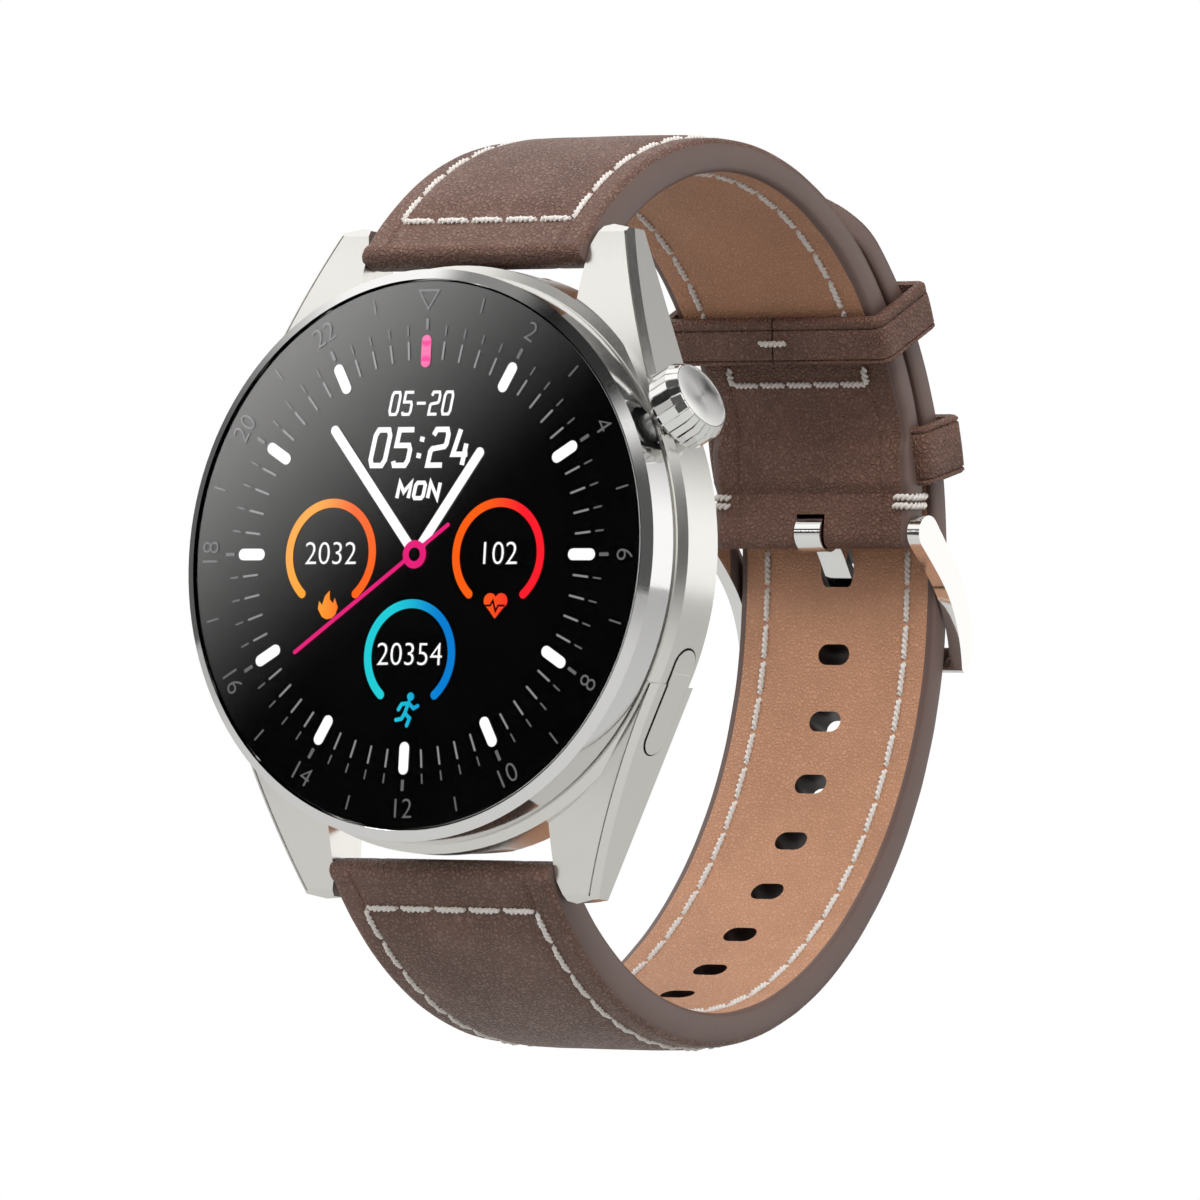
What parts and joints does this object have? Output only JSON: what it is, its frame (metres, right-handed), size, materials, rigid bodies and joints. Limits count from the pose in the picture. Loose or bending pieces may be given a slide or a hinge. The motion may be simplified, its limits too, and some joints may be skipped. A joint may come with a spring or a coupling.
{
  "type": "smartwatch",
  "caption": "Round steel smartwatch with a knurled crown, a flush side button and a stitched leather strap buckled into a loop.",
  "frame": {"origin": "centre of the flat sensor window on the case back", "axes": "+Z towards twelve o'clock, +X towards the crown side (three o'clock), +Y from the dial into the wrist"},
  "size_m": [0.0495, 0.0654, 0.0752],
  "materials": {
    "brushed_case": "fine brushed",
    "polished_steel": "polished",
    "cover_glass": "polished",
    "black_seal": "matte",
    "display_black": "black display",
    "black_plastic": "moulded",
    "flex_film": "polyimide film",
    "battery_wrap": "foil wrap",
    "circuit_board": "solder mask",
    "chip_black": "moulded packages",
    "small_motor_steel": "satin",
    "copper": "lacquered copper",
    "led_lens": "clear lens",
    "back_cover_plastic": "satin",
    "screw_steel": "satin",
    "sensor_glass": "dark polished window",
    "outer_leather": "dark brown grain",
    "lining_leather": "tan fine grain"
  },
  "bodies": {
    "head_and_strap": {"mid_case": "brushed_case", "bezel_ring": "polished_steel", "cover_glass": "cover_glass", "glass_seal": "black_seal", "display_panel": "display_black", "inner_frame": "black_plastic", "display_flex": "flex_film", "battery": "battery_wrap", "main_board": "circuit_board", "board_chips": "chip_black", "vibration_motor": "small_motor_steel", "speaker": "black_plastic", "charging_coil": "copper", "sensor_board": "circuit_board", "sensor_leds": "led_lens", "back_cover": "back_cover_plastic", "back_screws": "screw_steel", "back_gasket": "black_seal", "sensor_window": "sensor_glass", "crown_tube": "screw_steel", "crown_switch": "black_plastic", "button_seal": "black_seal", "button_switch": "black_plastic", "short_strap": "outer_leather", "short_strap_lining": "lining_leather", "buckle_flap": "outer_leather", "long_strap": "outer_leather", "long_strap_lining": "lining_leather", "fixed_keeper": "outer_leather", "upper_bar_tube": "screw_steel", "upper_bar_spring": "screw_steel", "lower_bar_tube": "screw_steel", "lower_bar_spring": "screw_steel", "buckle_bar_tube": "screw_steel", "buckle_bar_spring": "screw_steel"},
    "crown_rotor": {"encoder_wheel": "black_plastic"},
    "crown": {"crown_cap": "polished_steel", "crown_stem": "screw_steel", "crown_o_ring": "black_seal"},
    "side_button": {"button_cap": "brushed_case", "button_post": "screw_steel"},
    "buckle": {"buckle_frame": "polished_steel"},
    "tongue": {"buckle_tongue": "polished_steel"},
    "loose_keeper": {"free_keeper": "outer_leather"},
    "upper_bar_tip_left": {"upper_bar_tip_left": "screw_steel"},
    "upper_bar_tip_right": {"upper_bar_tip_right": "screw_steel"},
    "lower_bar_tip_left": {"lower_bar_tip_left": "screw_steel"},
    "lower_bar_tip_right": {"lower_bar_tip_right": "screw_steel"},
    "buckle_bar_tip_left": {"buckle_bar_tip_left": "screw_steel"},
    "buckle_bar_tip_right": {"buckle_bar_tip_right": "screw_steel"}
  },
  "joints": [
    {"name": "crown_turn", "type": "hinge", "parent": "head_and_strap", "child": "crown_rotor", "pos_m": [0, -0.0056, 0], "axis": [0.8767, 0, 0.481], "continuous": true},
    {"name": "crown_press", "type": "slide", "parent": "crown_rotor", "child": "crown", "axis": [-0.8767, 0, -0.481], "range_m": [0, 0.00035], "stiffness_N_per_m": 3000},
    {"name": "button_press", "type": "slide", "parent": "head_and_strap", "child": "side_button", "axis": [-0.8829, 0, 0.4695], "range_m": [0, 0.0003], "stiffness_N_per_m": 3000},
    {"name": "buckle_swing", "type": "hinge", "parent": "head_and_strap", "child": "buckle", "pos_m": [0, 0.0469, 0.0072], "axis": [1, 0, 0], "range_deg": [0, 3]},
    {"name": "tongue_lift", "type": "hinge", "parent": "buckle", "child": "tongue", "pos_m": [0, 0.0469, 0.0072], "axis": [1, 0, 0], "range_deg": [0, 2]},
    {"name": "keeper_slide", "type": "hinge", "parent": "head_and_strap", "child": "loose_keeper", "pos_m": [0, 0.0166, 0.00392], "axis": [1, 0, 0], "range_deg": [-5, 10]},
    {"name": "upper_bar_tip_left_slide", "type": "slide", "parent": "head_and_strap", "child": "upper_bar_tip_left", "axis": [1, 0, 0], "range_m": [0, 0.001], "stiffness_N_per_m": 1500},
    {"name": "upper_bar_tip_right_slide", "type": "slide", "parent": "head_and_strap", "child": "upper_bar_tip_right", "axis": [-1, 0, 0], "range_m": [0, 0.001], "stiffness_N_per_m": 1500},
    {"name": "lower_bar_tip_left_slide", "type": "slide", "parent": "head_and_strap", "child": "lower_bar_tip_left", "axis": [1, 0, 0], "range_m": [0, 0.001], "stiffness_N_per_m": 1500},
    {"name": "lower_bar_tip_right_slide", "type": "slide", "parent": "head_and_strap", "child": "lower_bar_tip_right", "axis": [-1, 0, 0], "range_m": [0, 0.001], "stiffness_N_per_m": 1500},
    {"name": "buckle_bar_tip_left_slide", "type": "slide", "parent": "head_and_strap", "child": "buckle_bar_tip_left", "axis": [1, 0, 0], "range_m": [0, 0.001], "stiffness_N_per_m": 1500},
    {"name": "buckle_bar_tip_right_slide", "type": "slide", "parent": "head_and_strap", "child": "buckle_bar_tip_right", "axis": [-1, 0, 0], "range_m": [0, 0.001], "stiffness_N_per_m": 1500}
  ]
}
